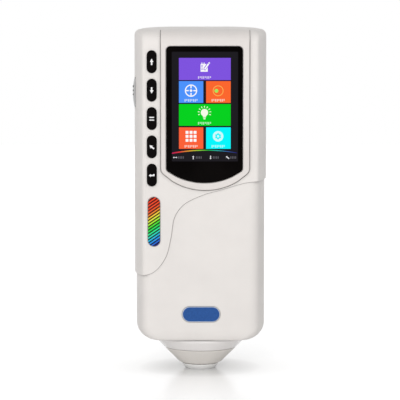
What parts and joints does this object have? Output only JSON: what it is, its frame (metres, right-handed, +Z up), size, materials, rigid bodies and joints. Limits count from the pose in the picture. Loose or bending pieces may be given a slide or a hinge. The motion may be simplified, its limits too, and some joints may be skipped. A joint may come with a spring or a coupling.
{
  "type": "colorimeter",
  "caption": "Handheld colorimeter standing on its conical measuring tip, with a framed screen, a column of keys, a side button and a back battery door.",
  "frame": {"origin": "middle of the underside of the measuring tip, under the middle of the housing", "axes": "+Z up along the measuring axis, screen facing -Y, measure button on -X"},
  "size_m": [0.0797, 0.0667, 0.205],
  "materials": {
    "white_plastic": "fine matt moulded",
    "warm_white_plastic": "satin moulded",
    "grey_plastic": "fine matt moulded",
    "black_rubber": "satin",
    "black_plastic": "satin moulded",
    "black_glass": "polished black",
    "screen": "lit panel",
    "board_green": "solder mask",
    "steel": "plated",
    "brass": "plated",
    "battery_sleeve": "shrink sleeve",
    "blue_badge": "printed and domed",
    "spectrum_badge": "printed and domed",
    "sphere_white": "diffuse coating",
    "lamp_clear": "clear moulded",
    "lens_glass": "polished",
    "ribbon": "flat lead"
  },
  "bodies": {
    "housing": {"upper_housing": "white_plastic", "lower_cover": "white_plastic", "back_cover": "white_plastic", "battery_pack": "battery_sleeve", "battery_contact_1": "brass", "battery_contact_2": "brass", "display_bezel": "warm_white_plastic", "screen_window": "black_glass", "lcd_module": "screen", "main_board": "board_green", "measure_switch": "black_plastic", "spectrum_badge": "spectrum_badge", "label_badge": "blue_badge", "power_switch_frame": "black_plastic", "port_board": "board_green", "usb_port": "steel", "dc_jack": "black_plastic", "head_collar": "white_plastic", "measuring_cone": "warm_white_plastic", "aperture_ring": "white_plastic", "sphere_lower": "sphere_white", "sphere_upper": "sphere_white", "lamp_board": "board_green", "lens_tube": "black_plastic", "detector_lens": "lens_glass", "colour_sensor": "black_plastic", "sensor_board": "board_green", "sensor_ribbon": "ribbon", "housing_screw_1": "steel", "housing_screw_2": "steel", "housing_screw_3": "steel", "housing_screw_4": "steel", "housing_screw_5": "steel", "housing_screw_6": "steel", "board_screw_1": "steel", "lamp_1": "lamp_clear", "board_screw_2": "steel", "lamp_2": "lamp_clear", "board_screw_3": "steel", "lamp_3": "lamp_clear", "board_screw_4": "steel", "lamp_4": "lamp_clear", "key_switch_1": "black_plastic", "key_switch_2": "black_plastic", "key_switch_3": "black_plastic", "key_switch_4": "black_plastic", "key_switch_5": "black_plastic"},
    "battery_door": {"battery_door": "white_plastic"},
    "measure_button": {"measure_button": "grey_plastic"},
    "power_rocker": {"power_rocker": "black_plastic"},
    "key_up": {"key_up": "black_rubber"},
    "key_down": {"key_down": "black_rubber"},
    "key_menu": {"key_menu": "black_rubber"},
    "key_back": {"key_back": "black_rubber"},
    "key_enter": {"key_enter": "black_rubber"}
  },
  "joints": [
    {"name": "battery_door_hinge", "type": "hinge", "parent": "housing", "child": "battery_door", "pos_m": [0, 0.0335, 0.082], "axis": [-1, 0, 0], "range_deg": [0, 90]},
    {"name": "measure_button_press", "type": "slide", "parent": "housing", "child": "measure_button", "axis": [1, 0, 0], "range_m": [0, 0.0012], "stiffness_N_per_m": 2500},
    {"name": "power_rocker_tilt", "type": "hinge", "parent": "housing", "child": "power_rocker", "pos_m": [0.03404, 0.008, 0.14], "axis": [0, 1, 0], "range_deg": [0, 16]},
    {"name": "key_up_press", "type": "slide", "parent": "housing", "child": "key_up", "axis": [0, 1, 0], "range_m": [0, 0.0008], "stiffness_N_per_m": 2500},
    {"name": "key_down_press", "type": "slide", "parent": "housing", "child": "key_down", "axis": [0, 1, 0], "range_m": [0, 0.0008], "stiffness_N_per_m": 2500},
    {"name": "key_menu_press", "type": "slide", "parent": "housing", "child": "key_menu", "axis": [0, 1, 0], "range_m": [0, 0.0008], "stiffness_N_per_m": 2500},
    {"name": "key_back_press", "type": "slide", "parent": "housing", "child": "key_back", "axis": [0, 1, 0], "range_m": [0, 0.0008], "stiffness_N_per_m": 2500},
    {"name": "key_enter_press", "type": "slide", "parent": "housing", "child": "key_enter", "axis": [0, 1, 0], "range_m": [0, 0.0008], "stiffness_N_per_m": 2500}
  ]
}
